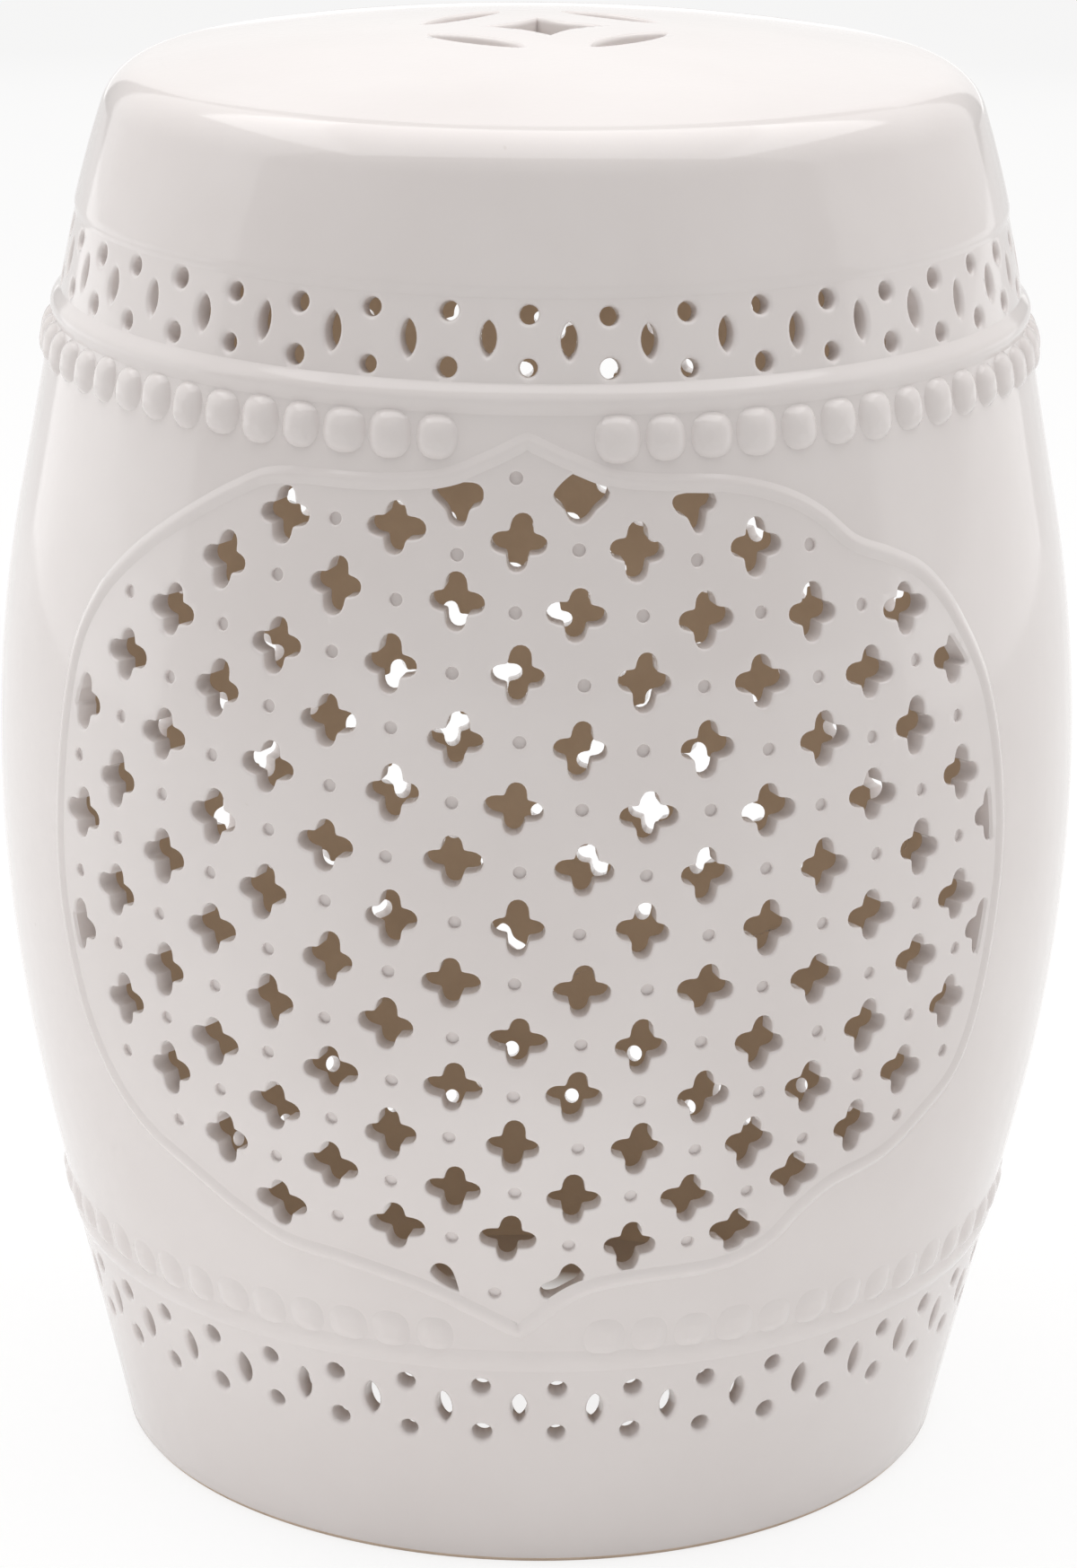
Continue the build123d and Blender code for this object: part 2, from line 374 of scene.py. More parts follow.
def knifeMesh(name, corners, roll, depth=knife["depth"]):  # corners are those of the hole itself
    levels = [(roll + knife["flare"], knife["above"])]
    for i in range(knife["rollSteps"] + 1):
        turn = radians(90 * i / knife["rollSteps"])
        levels.append((roll * (1 - sin(turn)), -roll * (1 - cos(turn))))
    levels.append((0.0, -depth))
    bm = bmesh.new()
    mark = bm.verts.layers.int.new("place")
    face = bm.faces.new([bm.verts.new((x, y, 0)) for x, y in corners])
    for i, vert in enumerate(face.verts):
        vert[mark] = i
    for level, (width, height) in enumerate(levels):
        if level:
            bmesh.ops.inset_region(
                bm, faces=[face], thickness=0.01, use_even_offset=False, use_boundary=True
            )
        line = grown(corners, width)
        for vert in face.verts:
            vert.co = (*line[vert[mark]], height)
    bmesh.ops.contextual_create(bm, geom=[edge for edge in bm.edges if edge.is_boundary])
    bmesh.ops.recalc_face_normals(bm, faces=bm.faces)
    bm.verts.layers.int.remove(bm.verts.layers.int["place"])
    mesh = bpy.data.meshes.new(name)
    bm.to_mesh(mesh)
    bm.free()
    return mesh


def crossCorners(reach, root, fullness, count):  # four rounded lobes, with fuller sides by fullness
    corners = []
    for i in range(count):
        turn = 2 * pi * i / count
        radius = (reach + root) / 2 + fullness + (reach - root) / 2 * cos(4 * turn)
        radius -= fullness * cos(8 * turn)
        corners.append((radius * cos(turn), radius * sin(turn)))
    return corners


def ovalCorners(width, height, point, count):
    corners = []
    for i in range(count):
        turn = 2 * pi * i / count
        side = abs(cos(turn)) ** point * (1 if cos(turn) >= 0 else -1)
        corners.append((width / 2 * side, height / 2 * sin(turn)))
    return corners


def press(knives, mesh, place, shape=None):  # a copy of a flat knife, laid on the stool by place
    before = len(knives.verts)
    knives.from_mesh(mesh)
    knives.verts.ensure_lookup_table()
    for v in knives.verts[before:]:
        x, y, z = shape(*v.co) if shape else v.co
        v.co = place(x, y, z)


def onWall(azimuth, height, turn=0.0, level=0.0):  # square to the wall, or cut level where level is 1
    radius, lean = wallAt(height)
    c, s = cos(radians(turn)), sin(radians(turn))

    def place(x, y, z):
        along, up = c * x - s * y, s * x + c * y
        at = height + up * cos(radians(lean)) + level * min(0.0, z) * sin(radians(lean))
        return wallPoint(azimuth + degrees(along / wallAt(at)[0]), at, z)

    return place


# ring pieces
rings = {
    "footTop": 42.0,
    "lowerJoint": 74.0,
    "upperJoint": 373.5,
    "bandTop": 401.0,
    "recess": 0.8,
    "stepSoft": 3.6,
    "footBevel": 2.0,
    "doublings": 4,  # 16 slices of 30 steps
}


def footWall():
    section = shellSection(0, rings["footTop"], barrel["meshStep"], 8)
    bevel = rings["footBevel"]
    first = section[0]
    section[0] = (first[0] - bevel, 0)
    section.insert(1, (first[0] - bevel * 0.35, bevel * 0.25))
    section.insert(2, (wallAt(bevel)[0], bevel))
    section[3] = (wallAt(section[3][1])[0], max(section[3][1], bevel * 1.6))
    bm = spun(section, rings["doublings"])
    markInside(bm)
    for face in bm.faces:
        if face.calc_center_median().z < 1.1 * bevel * mm:
            face.material_index = 2
    finishPiece("footWall", bm, "foot_wall", ("whiteGlaze", "innerClay", "footClay"))


bands = {
    "repeats": 40,
    "roundHole": 5.7,
    "lensWidth": 4.9,
    "lensHeight": 10.8,
    "upperRows": (397.0, 381.7),
    "upperLens": 389.2,
    "lowerRows": (65.2, 48.8),
    "lowerLens": 57.8,
    "roll": 1.5,
    "handSize": 0.07,  # how far round holes and lenses differ from each other
    "handWide": 0.10,
    "handTall": 0.06,
    "handShift": 0.5,
    "handTurn": 3.0,
}


def bandKnives(rows, lensRow, start, depth=0.0):
    drop = knifeMesh("drop", ovalCorners(bands["roundHole"], bands["roundHole"], 1.0, 20), bands["roll"])
    lens = knifeMesh("lens", ovalCorners(bands["lensWidth"], bands["lensHeight"], 1.35, 24), bands["roll"])
    knives = bmesh.new()
    step = 360 / bands["repeats"]
    for i in range(bands["repeats"]):
        for row, height in enumerate(rows):
            size = 1 + bands["handSize"] * sin(3.3 * i + 5 * row)
            shift = bands["handShift"] * sin(4.7 * i + 2 * row)
            place = onWall(start + step * i, height + shift)
            press(knives, drop, place, lambda x, y, z: (x * size, y * size, z - depth))
        wide = 1 + bands["handWide"] * sin(2.9 * i)
        tall = 1 + bands["handTall"] * sin(5.3 * i)
        height = lensRow + bands["handShift"] * sin(3.9 * i)
        place = onWall(start + step * (i + 0.5), height, bands["handTurn"] * sin(1.7 * i), 1.0)
        press(knives, lens, place, lambda x, y, z: (x * wide, y * tall, z - depth))
    return knives


def lowerBand():
    section = shellSection(rings["footTop"], rings["lowerJoint"], 2.0, 5)
    bm = spun(section, rings["doublings"])
    markInside(bm)
    knives = bandKnives(bands["lowerRows"], bands["lowerLens"], 180 / bands["repeats"])
    bm = combine(bm, knives, "DIFFERENCE")
    finishPiece("lowerPiercedBand", bm, "lower_pierced_band", ("whiteGlaze", "innerClay"))


def upperBand():
    section = shellSection(rings["upperJoint"], rings["bandTop"], 2.0, 5, lambda height: -rings["recess"])
    bm = spun(section, rings["doublings"])
    markInside(bm)
    knives = bandKnives(bands["upperRows"], bands["upperLens"], 0.0, rings["recess"])
    bm = combine(bm, knives, "DIFFERENCE")
    finishPiece("upperPiercedBand", bm, "upper_pierced_band", ("whiteGlaze", "innerClay"))


seat = {
    "radius": 118.0,
    "ledgeWidth": 8.0,
    "ledgeDepth": 3.2,
    "coinTurn": 8.0,
    "petalPlace": 33.0,
    "petalLength": 36.0,
    "petalWidth": 8.8,
    "diamondReach": 17.4,
    "diamondWaist": 9.6,
    "diamondSide": (0.62, 0.20),  # points on its drawn-in sides, as shares of its reach
    "roll": 1.5,
    "shoulderInside": 430.0,  # bare wall goes up to here, and then under the seat
}


def softStep(height):  # the shoulder rolls in to the recessed band
    share = max(0.0, min(1.0, (height - rings["bandTop"]) / rings["stepSoft"]))
    return -rings["recess"] * (1 - share * share * (3 - 2 * share))


def shoulderWall():
    outer = []
    for radius, height in rimLine(rings["bandTop"], 0.9):
        outer.append((radius + softStep(height), height))
    joint = (seat["radius"], domeAt(seat["radius"]))
    rim = outer[-1]
    for i in range(1, 4):
        radius = rim[0] + (joint[0] - rim[0]) * i / 3
        outer.append((radius, domeAt(radius)))
    ledge = joint[1] - seat["ledgeDepth"]
    inward = seat["radius"] - seat["ledgeWidth"]
    inner = [(joint[0], ledge), (inward, ledge), (inward, domeAt(inward) - barrel["wall"])]
    line = rimLine(rings["bandTop"], 6)
    for radius, height in reversed(line):
        if height < seat["shoulderInside"]:
            lean = wallAt(height)[1]
            inner.append((radius - barrel["wall"] / cos(radians(lean)), height))
    bm = spun(outer + inner, rings["doublings"])
    markInside(bm)
    finishPiece("shoulderWall", bm, "shoulder_wall", ("whiteGlaze", "innerClay"))


def seatDisc():
    outer = []
    count = int(seat["radius"] / barrel["meshStep"])
    for i in range(count + 1):
        radius = seat["radius"] * i / count
        outer.append((radius, domeAt(radius)))
    ledge = domeAt(seat["radius"]) - seat["ledgeDepth"]
    inward = seat["radius"] - seat["ledgeWidth"]
    inner = [(seat["radius"], ledge), (inward, ledge)]
    for i in range(12):
        radius = inward * (1 - i / 11)
        inner.append((radius, domeAt(radius) - barrel["wall"]))
    bm = spun(outer + inner, 3)
    for face in bm.faces:
        if face.normal.z < -0.5:
            face.material_index = 1
    petal = knifeMesh("petal", ovalCorners(seat["petalWidth"], seat["petalLength"], 1.45, 44), seat["roll"])
    reach = seat["diamondReach"]
    waist = seat["diamondWaist"] * 0.5**0.5
    far, off = (share * reach for share in seat["diamondSide"])
    corners = []
    for turn in (0, 90, 180, 270):
        for x, y in ((reach, 0), (far, off), (waist, waist), (off, far)):
            point = Matrix.Rotation(radians(turn), 2) @ Vector((x, y))
            corners.append((point.x, point.y))
    diamond = knifeMesh("diamond", corners, seat["roll"])
    knives = bmesh.new()

    def onSeat(turn, reach):
        c, s = cos(radians(turn)), sin(radians(turn))

        def place(x, y, z):
            px, py = c * (x + reach) - s * y, s * (x + reach) + c * y
            return Vector((px, py, domeAt(hypot(px, py)) + z)) * mm

        return place

    press(knives, diamond, onSeat(seat["coinTurn"], 0))
    for i in range(4):
        press(knives, petal, onSeat(seat["coinTurn"] + 45 + 90 * i, seat["petalPlace"]))
    bm = combine(bm, knives, "DIFFERENCE")
    finishPiece("seatDisc", bm, "seat_disc", ("whiteGlaze", "innerClay"))


footWall()
lowerBand()
upperBand()
shoulderWall()
seatDisc()
print("rings and seat done")

# lattice panels in their cartouche
panel = {
    "near": 60.0,  # the prism that cuts the opening starts here, off the axis
    "far": 190.0,
    "columns": 8,
    "rows": 6,
    "azimuth": -0.4,
    "middle": 220.8,
    "columnPitch": 6.33,
    "columnDrop": 1.12,
    "rowPitch": 17.9,
    "columnsCrowd": 0.018,
    "rowsLean": 0.013,
    "columnsSag": 0.046,
    "rowsOpen": 0.153,
    "tilt": 3.6,
    "handShift": 0.8,
    "handTurn": 3.0,
    "handPull": 0.06,
    "lobeReach": 8.3,
    "lobeRoot": 4.9,
    "lobeFullness": 0.22,
    "roll": 0.8,
    "topMargin": 2.6,  # clay left between a cross and the ridge's middle line
    "sideMargin": 5.4,
    "leastRoom": 1.5,  # a cross with less than this inside its margin is left out
    "nudge": 4.0,  # a cross is moved in by this much before it is cut short
    "openRoom": 30.0,  # for a cross that nothing cuts short
    "dot": 3.8,
    "dotRoll": 0.6,
    "dotDepth": 1.5,
    "dotMargin": 7.0,
    "dotDrop": 14.5,  # a dot under an odd hole is at least this far below its middle
    "edgeCrosses": [(54.2, 236), (53.6, 201)],  # cut short by the frame
    "oddGrow": 1.06,
    "oddHoles": [  # squeezed in under the top of the frame and into its tip
        (-7.2, 344.0, [
            (7.0, 1.3), (6.8, 3.7), (5.0, 5.3), (1.4, 5.5), (-3.4, 5.0), (-6.8, 3.3), (-6.4, 1.1),
            (-4.3, -0.9), (-2.9, -2.6), (-1.9, -5.0), (0.0, -6.3), (1.8, -6.1), (2.6, -4.6), (3.1, -2.6),
            (3.8, -1.5), (6.0, -0.5),
        ]),
        (5.7, 345.9, [
            (7.7, 1.3), (6.1, 4.0), (3.4, 6.2), (0.1, 7.0), (-2.6, 6.2), (-5.6, 3.6), (-7.4, 1.1),
            (-6.8, -0.9), (-4.7, -3.0), (-3.0, -5.9), (-0.5, -7.0), (1.9, -5.9), (4.0, -3.3), (6.8, -0.9),
        ]),
        (17.8, 341.9, [
            (6.1, 1.6), (5.3, 3.6), (2.6, 4.4), (-2.2, 4.2), (-5.4, 3.6), (-6.4, 1.6), (-4.8, -1.1),
            (-2.4, -2.4), (-1.3, -4.6), (0.0, -6.6), (1.7, -6.3), (2.6, -4.0), (3.2, -1.3), (5.0, -0.3),
        ]),
        (-8.2, 105.0, [
            (3.9, -4.5), (2.8, 0.5), (1.5, 3.3), (-0.6, 4.5), (-2.7, 4.0), (-4.0, 2.0), (-3.7, 0.5),
            (-1.9, -1.5), (1.1, -3.5),
        ]),
        (5.2, 105.2, [
            (4.9, 1.6), (3.4, 4.0), (1.1, 5.6), (-1.2, 4.2), (-2.3, 1.6), (-3.6, 0.1), (-6.6, -1.6),
            (-7.6, -3.5), (-6.3, -6.0), (-3.1, -5.7), (0.5, -3.6), (3.7, -1.4),
        ]),
    ],
    "tipDots": [(-1.1, 351.5), (-2.7, 100.2)],
    "right": [  # each side of the frame from its top to its tip, in degrees round and millimetres up
        (0, 362), (5, 355.8), (10.5, 350.8), (21, 348.5), (27.5, 343.8), (32, 337), (36, 327.5),
        (41, 321.5), (45.6, 314), (50, 298.5), (54.3, 272), (56.3, 228), (54.8, 183), (52, 157),
        (47, 144.5), (41.5, 134.5), (35, 129.5), (31, 122), (27.5, 112.5), (22, 107), (12, 105.2),
        (6, 100.5), (0, 86.5),
    ],
    "left": [
        (0, 362), (-4.5, 355.8), (-9, 351), (-16, 348.6), (-27, 347.5), (-32.5, 341.5), (-40, 328.8),
        (-46.5, 315), (-51.5, 299.5), (-54.6, 279), (-55.9, 240), (-55.7, 205), (-53.2, 171),
        (-49.3, 150), (-44.5, 137), (-38, 127.6), (-32, 118), (-26.4, 110.8), (-19.4, 107.7),
        (-11, 101.5), (-5, 94), (0, 86.5),
    ],
}


def smoothRun(points, cuts):  # soft line through the points
    before = [2 * points[0][j] - points[1][j] for j in (0, 1)]
    after = [2 * points[-1][j] - points[-2][j] for j in (0, 1)]
    full = [before, *points, after]
    line = []
    for i in range(1, len(full) - 2):
        a, b, c, d = full[i - 1], full[i], full[i + 1], full[i + 2]
        for k in range(cuts):
            t = k / cuts
            line.append(tuple(
                0.5 * (2 * b[j] + (c[j] - a[j]) * t + (2 * a[j] - 5 * b[j] + 4 * c[j] - d[j]) * t * t
                       + (3 * b[j] - a[j] - 3 * c[j] + d[j]) * t**3)
                for j in (0, 1)
            ))
    return line


def cartoucheLine(cuts):
    return smoothRun(panel["right"], cuts) + smoothRun(panel["left"][::-1], cuts)


def cartouchePrism(line):
    bm = bmesh.new()
    near = panel["near"]
    verts = [bm.verts.new((near * tan(radians(u)) * mm, -near * mm, v * mm)) for u, v in line]
    face = bm.faces.new(verts)
    made = bmesh.ops.extrude_face_region(bm, geom=[face])
    moved = [v for v in made["geom"] if isinstance(v, bmesh.types.BMVert)]
    bmesh.ops.scale(bm, vec=(panel["far"] / near, panel["far"] / near, 1), verts=moved)
    bmesh.ops.recalc_face_normals(bm, faces=bm.faces)
    return bm


def flatOutline():  # outline in millimetres along and up the wall, for distances
    return [(radians(u) * wallAt(v)[0], v) for u, v in cartoucheLine(6)]


def insideOutline(x, y, outline):
    inside = False
    for i in range(len(outline)):
        (x0, y0), (x1, y1) = outline[i - 1], outline[i]
        if (y0 > y) != (y1 > y) and x < x0 + (x1 - x0) * (y - y0) / (y1 - y0):
            inside = not inside
    return inside


def nearestEdge(x, y, outline):
    best = None
    for i in range(len(outline)):
        a, b = Vector(outline[i - 1]), Vector(outline[i])
        line = b - a
        share = max(0.0, min(1.0, (Vector((x, y)) - a).dot(line) / max(line.length_squared, 1e-9)))
        foot = a + line * share
        gap = (Vector((x, y)) - foot).length
        if best is None or gap < best[0]:
            best = (gap, foot)
    return best


def latticePlaces():  # staggered crosses, with the dots between them
    places = [(azimuth, height, "edge") for azimuth, height in panel["edgeCrosses"]]
    for column in range(-panel["columns"], panel["columns"] + 1):
        for row in range(-panel["rows"], panel["rows"] + 1):
            azimuth = panel["azimuth"] + panel["columnPitch"] * column
            azimuth -= panel["columnsCrowd"] * column**2 + panel["rowsLean"] * row**2
            azimuth += panel["handShift"] / 3 * sin(5.1 * column + 2.3 * row)
            height = panel["middle"] - panel["columnDrop"] * column + panel["rowPitch"] * row
            height += panel["columnsSag"] * column**2 + panel["rowsOpen"] * row**2
            height += panel["handShift"] * sin(3.7 * column + 4.9 * row)
            places.append((azimuth, height, "dot" if (column + row) % 2 else "cross"))
    return places


def cutByHand(phase, towards, room):  # pulls a cross about a little, and cuts it short where room ends
    def shape(x, y, z):
        angle = atan2(y, x)
        pull = panel["handPull"]
        reach = hypot(x, y) * (1 + pull * sin(angle + phase) + pull * sin(2 * angle + 1.7 * phase))
        facing = cos(angle - towards)
        if facing > 0.05:
            limit = (room + max(0.0, z + panel["roll"])) / facing
            reach = (reach**-6 + limit**-6) ** (-1 / 6)
        return reach * cos(angle), reach * sin(angle), z

    return shape


def latticeKnives():
    corners = crossCorners(panel["lobeReach"], panel["lobeRoot"], panel["lobeFullness"], 48)
    cross = knifeMesh("cross", corners, panel["roll"])
    corners = ovalCorners(panel["dot"], panel["dot"], 1.0, 20)
    dot = knifeMesh("dot", corners, panel["dotRoll"], panel["dotDepth"])
    outline = flatOutline()
    knives = bmesh.new()
    counts = {"whole": 0, "cut short": 0, "dots": 0}
    for azimuth, height in panel["tipDots"]:
        press(knives, dot, onWall(azimuth, height))
    for azimuth, height, points in panel["oddHoles"]:
        grow = panel["oddGrow"]
        corners = [(grow * x, grow * y) for x, y in smoothRun([*points, points[0]], 3)]
        press(knives, knifeMesh("oddHole", corners, panel["roll"]), onWall(azimuth, height, 0.0, 1.0))
    for azimuth, height, kind in latticePlaces():
        x = radians(azimuth) * wallAt(height)[0]
        if not insideOutline(x, height, outline):
            continue
        gap, foot = nearestEdge(x, height, outline)
        if kind == "dot":
            for side, level, _ in panel["oddHoles"]:
                if abs(azimuth - side) < 3 and 0 < level - height < panel["dotDrop"]:
                    height = level - panel["dotDrop"]
            if gap > panel["dotMargin"]:
                press(knives, dot, onWall(azimuth, height))
                counts["dots"] += 1
            continue
        away = (Vector((x, height)) - foot).normalized()
        margin = panel["topMargin"] + (panel["sideMargin"] - panel["topMargin"]) * away.x**2
        short = margin + panel["lobeReach"] - gap
        if gap < margin + (panel["leastRoom"] if kind == "cross" else 0):
            continue
        shift = 0.0
        if kind == "cross" and (short < panel["nudge"] or away.y > 0.3):
            shift = max(0.0, min(short, panel["nudge"]))
            azimuth += degrees(away.x * shift / wallAt(height)[0])
            height += away.y * shift
        turn = panel["handTurn"] * sin(azimuth + height) - panel["tilt"]
        towards = atan2(-away.y, -away.x) - radians(turn)
        room = gap + shift - margin if short > shift else panel["openRoom"]
        shape = cutByHand(azimuth + height, towards, room)
        press(knives, cross, onWall(azimuth, height, turn, 1.0), shape)
        counts["cut short" if short > shift else "whole"] += 1
    print("lattice:", counts)
    return knives


def halfTurn(bm):
    bmesh.ops.rotate(bm, cent=(0, 0, 0), matrix=Matrix.Rotation(pi, 3, "Z"), verts=bm.verts)
    return bm


def bellyWall():
    section = shellSection(rings["lowerJoint"], rings["upperJoint"], barrel["meshStep"], 6)
    bm = spun(section, rings["doublings"])
    markInside(bm)
    return bm


def sideWalls():
    bm = combine(bellyWall(), cartouchePrism(cartoucheLine(5)), "DIFFERENCE")
    bm = combine(bm, halfTurn(cartouchePrism(cartoucheLine(5))), "DIFFERENCE")
    for name, side in (("left", -1), ("right", 1)):
        half = bm.copy()
        geom = half.verts[:] + half.edges[:] + half.faces[:]
        bmesh.ops.bisect_plane(
            half, geom=geom, dist=1e-6, plane_co=(0, 0, 0), plane_no=(side, 0, 0), clear_inner=True
        )
        bmesh.ops.holes_fill(half, edges=[edge for edge in half.edges if edge.is_boundary], sides=0)
        finishPiece(name + "SideWall", half, name + "_side_wall", ("whiteGlaze", "innerClay"))
    bm.free()


def latticePanels():
    bm = combine(bellyWall(), cartouchePrism(cartoucheLine(5)), "INTERSECT")
    bm = combine(bm, latticeKnives(), "DIFFERENCE")
    rear = halfTurn(bm.copy())
    finishPiece("frontLatticePanel", bm, "front_lattice_panel", ("whiteGlaze", "innerClay"))
    finishPiece("rearLatticePanel", rear, "rear_lattice_panel", ("whiteGlaze", "innerClay"))


sideWalls()
latticePanels()
print("belly done")

# raised trim
ridge = {
    "gap": (-23.4, 347.9, 2.0),  # where its ends meet by hand: place and half length
    "dip": 0.9,  # share of its height that is lost there
    "profile": [  # across the ridge and out from the wall
        (-3.0, -0.20), (-2.3, 0.10), (-1.5, 0.50), (-0.7, 0.86), (0.0, 0.98), (0.7, 0.86),
        (1.5, 0.50), (2.3, 0.10), (3.0, -0.20), (2.2, -1.2), (-2.2, -1.2),
    ],
}


def panelFrame():
    line = cartoucheLine(7)
    bm = bmesh.new()
    mark = bm.verts.layers.int.new("place")
    spots = []
    for i in range(len(line)):
        u, v = line[i]
        radius = wallAt(v)[0]
        before, after = line[i - 1], line[(i + 1) % len(line)]
        tangent = Vector((radians(after[0] - before[0]) * radius, after[1] - before[1])).normalized()
        away = hypot(radians(u - ridge["gap"][0]) * radius, v - ridge["gap"][1]) / ridge["gap"][2]
        dip = ridge["dip"] * 0.5 ** (away**4)
        spots.append((u, v, radius, Vector((tangent.y, -tangent.x)), dip))

    def lay(verts, offset, out):
        for vert in verts:
            u, v, radius, side, dip = spots[vert[mark]]
            rise = out - dip * max(0.0, out)
            vert.co = wallPoint(u + degrees(side.x * offset / radius), v + side.y * offset, rise)

    first = [bm.verts.new() for _ in spots]
    for i, vert in enumerate(first):
        vert[mark] = i
    lay(first, *ridge["profile"][0])
    edges = [bm.edges.new((first[i - 1], first[i])) for i in range(len(first))]
    start = edges
    for offset, out in ridge["profile"][1:]:
        made = bmesh.ops.extrude_edge_only(bm, edges=edges)
        edges = [e for e in made["geom"] if isinstance(e, bmesh.types.BMEdge)]
        lay([v for v in made["geom"] if isinstance(v, bmesh.types.BMVert)], offset, out)
    bmesh.ops.bridge_loops(bm, edges=start + edges)
    bmesh.ops.recalc_face_normals(bm, faces=bm.faces)
    bm.verts.layers.int.remove(bm.verts.layers.int["place"])
    rear = halfTurn(bm.copy())
    finishPiece("frontPanelFrame", bm, "front_panel_frame", ("whiteGlaze",), sharp=70)
    finishPiece("rearPanelFrame", rear, "rear_panel_frame", ("whiteGlaze",), sharp=70)


mouldings = {
    "upper": {"low": 367.8, "high": 378.3, "proud": 1.4, "ends": (-0.2, -1.05)},
    "lower": {"low": 70.6, "high": 80.6, "proud": 0.75, "ends": (-0.2, -0.2)},
}


def ringMoulding(level):
    values = mouldings[level]
    section = []
    count = 16
    for i in range(count + 1):
        share = i / count
        height = values["low"] + (values["high"] - values["low"]) * share
        bell = (0.5 - 0.5 * cos(2 * pi * share)) ** 0.8
        floor = values["ends"][0] + (values["ends"][1] - values["ends"][0]) * share
        radius, lean = wallAt(height)
        section.append((radius + (floor + (values["proud"] - floor) * bell) / cos(radians(lean)), height))
    for height in (values["high"] - 1, values["low"] + 1):
        section.append((wallAt(height)[0] - 2.2, height))
    bm = spun(section, rings["doublings"])
    finishPiece(level + "RingMoulding", bm, level + "_ring_moulding", ("whiteGlaze",), sharp=70)


beads = {
    "width": 13.2,
    "height": 14.0,
    "first": 9.6,
    "pitch": 5.187,
    "count": 32,
    "sunk": 0.25,
    "crown": 0.10,
    "square": 0.05,  # how much fuller the corners are
    "handWide": 0.06,
    "handTall": 0.05,
    "handShift": 0.4,
    "handTurn": 2.5,
    "upper": {"height": 362.3, "rise": [(0.5, 0.55), (0.6, 0.75), (1.0, 0.78), (1.4, 0.60), (1.6, 0.34)]},
    "lower": {"height": 84.2, "rise": [(0.9, 0.36), (1.1, 0.48), (1.1, 0.42), (1.0, 0.26), (0.6, 0.10)]},
}


def beadMesh(rise):  # steps inward and up to the crown
    bm = bmesh.new()
    verts = []
    for x, y in ovalCorners(beads["width"], beads["height"], 0.9, 18):
        full = 1 + beads["square"] * sin(2 * atan2(y, x)) ** 2
        verts.append(bm.verts.new((x * full, y * full, -beads["sunk"])))
    face = bm.faces.new(verts)
    face.normal_update()
    for inward, up in rise:
        bmesh.ops.inset_region(
            bm, faces=[face], thickness=inward, depth=up, use_even_offset=True, use_boundary=True
        )
    bmesh.ops.poke(bm, faces=[face], offset=beads["crown"])
    bmesh.ops.contextual_create(bm, geom=[edge for edge in bm.edges if edge.is_boundary])
    bmesh.ops.recalc_face_normals(bm, faces=bm.faces)
    mesh = bpy.data.meshes.new("bead")
    bm.to_mesh(mesh)
    bm.free()
    return mesh


def beadRows():
    for level in ("upper", "lower"):
        values = beads[level]
        bead = beadMesh(values["rise"])
        for name, side in (("left", -1), ("right", 1)):
            bm = bmesh.new()
            for i in range(beads["count"]):
                azimuth = side * (beads["first"] + beads["pitch"] * i)
                wide = 1 + beads["handWide"] * sin(4.1 * i + side)
                tall = 1 + beads["handTall"] * sin(2.3 * i + side)
                height = values["height"] + beads["handShift"] * sin(3.1 * i)
                place = onWall(azimuth, height, beads["handTurn"] * sin(1.9 * i))
                press(bm, bead, place, lambda x, y, z: (x * wide, y * tall, z))
            piece = level + "BeadRow" + name.capitalize()
            finishPiece(piece, bm, level + "_bead_row_" + name, ("whiteGlaze",), sharp=75)


panelFrame()
ringMoulding("upper")
ringMoulding("lower")
beadRows()
print("trim done")

# pale floor, soft boxes and camera
studio = {
    "floor": (0.92, 0.915, 0.91),
    "floorReach": 12.0,
    "paintedShade": (0.42, 0.34, 0.27),  # painted shade: the floor inside the stool, close to the wall, is coloured dark brown as if in the stool's shadow
    "paintedShadeRing": (0.070, 0.095, 0.129, 0.132),  # radii where the painted shade begins, is full, and ends
    "backdrop": 1.03,
    "glow": 0.8,  # share of the backdrop's white in the floor
    "mirroredGlow": 0.7,  # share of the glow that the glaze mirrors
    "world": 0.48,
    "mirrored": 0.45,  # surroundings as the glaze mirrors them
    "sideBoxes": {
        "away": 1.35,
        "turn": 110.0,
        "height": 0.92,
        "target": (0.0, 0.0, 0.25),
        "size": (2.0, 2.2),
        "power": (7.3, 6.1),
    },
    "topBox": {
        "place": (0.0, 0.1, 1.75),
        "target": (0.0, 0.0, 0.4),
        "size": (2.6, 1.9),
        "power": 19.6,
    },
    "backBox": {
        "place": (0.0, 2.6, 1.1),
        "target": (0.0, 0.0, 0.45),
        "size": (2.2, 1.8),
        "power": 5.6,
    },
    "lowCard": {
        "place": (-0.16, -0.36, 0.02),
        "target": (-0.04, 0.0, 0.04),
        "size": (0.8, 0.2),
        "power": 0.21,
    },
    "insideLamp": {
        "place": (0.0, -0.11, 0.23),
        "target": (0.0, 1.0, 0.23),
        "size": (0.16, 0.28),
        "power": 0.25,
    },
}


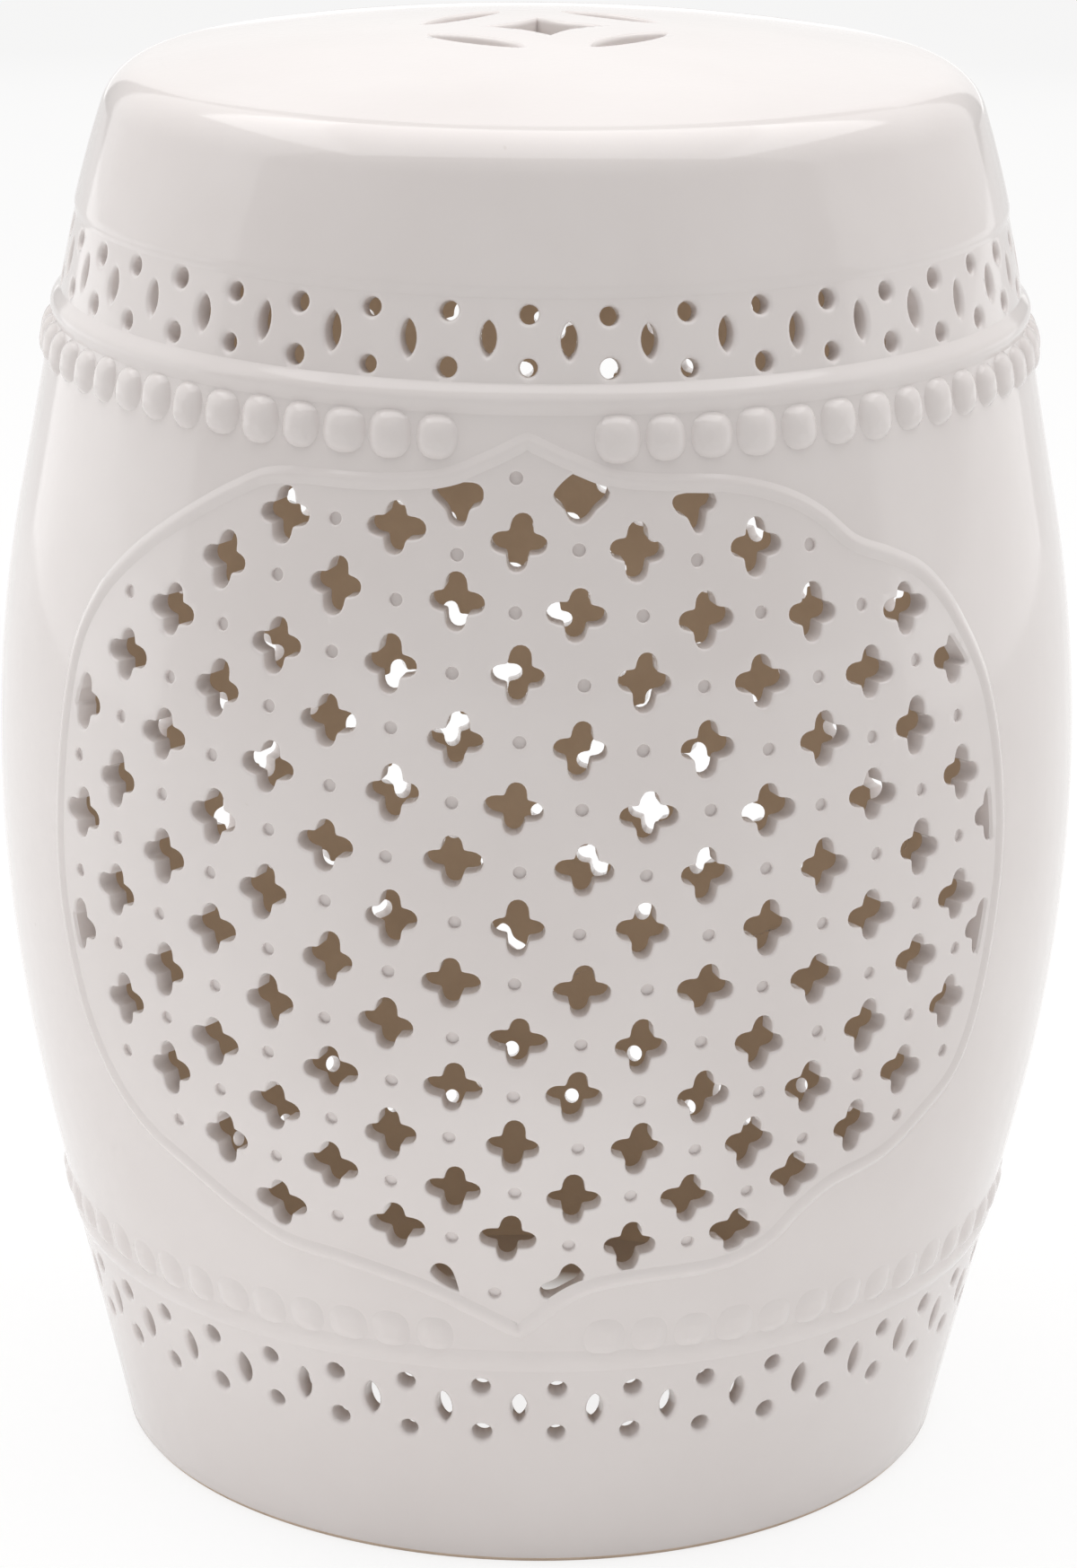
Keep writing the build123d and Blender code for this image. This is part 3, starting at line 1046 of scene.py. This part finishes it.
def makeFloor():
    bm = bmesh.new()
    bmesh.ops.create_grid(bm, x_segments=1, y_segments=1, size=studio["floorReach"])
    floor = asObject("floor", bm)
    tree, shader, place = newMaterial("paleFloor")
    reach = tree.nodes.new("ShaderNodeVectorMath")
    reach.operation = "LENGTH"
    tree.links.new(place, reach.inputs[0])
    # painted shade: inside the stool, except in the middle, the floor turns brown and loses its backdrop
    # glow
    ring = studio["paintedShadeRing"]
    middle = spread(tree, reach.outputs["Value"], ring[0], ring[1], 1.0, 0.0)
    around = spread(tree, reach.outputs["Value"], ring[2], ring[3], 0.0, 1.0)
    bright = maths(tree, "MAXIMUM", middle, around)
    tone = blendColours(tree, bright, studio["paintedShade"], studio["floor"])
    tree.links.new(tone, shader.inputs["Base Color"])
    shader.inputs["Roughness"].default_value = 0.6
    glow = tree.nodes.new("ShaderNodeEmission")
    glow.inputs["Color"].default_value = (studio["backdrop"],) * 3 + (1,)
    path = tree.nodes.new("ShaderNodeLightPath")
    seen = maths(tree, "MAXIMUM", path.outputs["Is Camera Ray"], path.outputs["Is Transmission Ray"])
    mirrored = maths(tree, "MULTIPLY", path.outputs["Is Glossy Ray"], studio["mirroredGlow"])
    seen = maths(tree, "MAXIMUM", seen, mirrored)
    share = maths(tree, "MULTIPLY", maths(tree, "MULTIPLY", seen, bright), studio["glow"])
    mix = tree.nodes.new("ShaderNodeMixShader")
    tree.links.new(share, mix.inputs["Fac"])
    tree.links.new(shader.outputs["BSDF"], mix.inputs[1])
    tree.links.new(glow.outputs["Emission"], mix.inputs[2])
    tree.links.new(mix.outputs["Shader"], tree.nodes["Material Output"].inputs["Surface"])
    floor.data.materials.append(materials["paleFloor"])


def makeWorld():
    world = bpy.data.worlds.new("studio")
    scene.world = world
    world.use_nodes = True
    tree = world.node_tree
    light = tree.nodes["Background"]
    light.inputs["Color"].default_value = (1.0, 0.985, 0.97, 1)
    back = tree.nodes.new("ShaderNodeBackground")
    back.inputs["Color"].default_value = (1, 1, 1, 1)
    back.inputs["Strength"].default_value = studio["backdrop"]
    path = tree.nodes.new("ShaderNodeLightPath")
    strength = spread(tree, path.outputs["Is Glossy Ray"], 0.0, 1.0, studio["world"], studio["mirrored"])
    tree.links.new(strength, light.inputs["Strength"])
    mix = tree.nodes.new("ShaderNodeMixShader")
    tree.links.new(path.outputs["Is Camera Ray"], mix.inputs["Fac"])
    tree.links.new(light.outputs["Background"], mix.inputs[1])
    tree.links.new(back.outputs["Background"], mix.inputs[2])
    tree.links.new(mix.outputs["Shader"], tree.nodes["World Output"].inputs["Surface"])


def softBox(name, values, place, power):
    lamp = bpy.data.lights.new(name, "AREA")
    lamp.shape = "RECTANGLE"
    lamp.size, lamp.size_y = values["size"]
    lamp.energy = power
    box = bpy.data.objects.new(name, lamp)
    scene.collection.objects.link(box)
    box.location = place
    aim = Vector(values["target"]) - Vector(place)
    box.rotation_euler = aim.to_track_quat("-Z", "Y").to_euler()
    return box


def makeLights():
    side = studio["sideBoxes"]
    for name, sign, power in zip(("leftBox", "rightBox"), (-1, 1), side["power"]):
        turn = radians(side["turn"])
        place = (sign * side["away"] * sin(turn), -side["away"] * cos(turn), side["height"])
        softBox(name, side, place, power)
    for name in ("topBox", "backBox", "lowCard", "insideLamp"):
        values = studio[name]
        box = softBox(name, values, values["place"], values["power"])
        box.visible_camera = name == "topBox"
        box.visible_glossy = name in ("topBox", "backBox")


cameraView = {
    "distance": 1.4801,
    "height": 0.6762,
    "azimuth": 1.3,
    "pitch": 17.434,
    "roll": 0.569,
    "lens": 109.9,
    "shift": 0.0015,
}


def makeCamera():
    data = bpy.data.cameras.new("camera")
    data.lens = cameraView["lens"]
    data.sensor_width = 36.0
    data.shift_x = cameraView["shift"]
    camera = bpy.data.objects.new("camera", data)
    scene.collection.objects.link(camera)
    turn = radians(cameraView["azimuth"])
    place = Vector((sin(turn), -cos(turn), 0)) * cameraView["distance"]
    place.z = cameraView["height"]
    aim = Matrix.Rotation(turn, 4, "Z") @ Matrix.Rotation(radians(90 - cameraView["pitch"]), 4, "X")
    roll = Matrix.Rotation(radians(cameraView["roll"]), 4, "Z")
    camera.matrix_world = Matrix.Translation(place) @ aim @ roll
    scene.camera = camera


makeFloor()
makeWorld()
makeLights()
makeCamera()
scene.view_settings.view_transform = "Standard"
print("studio done")
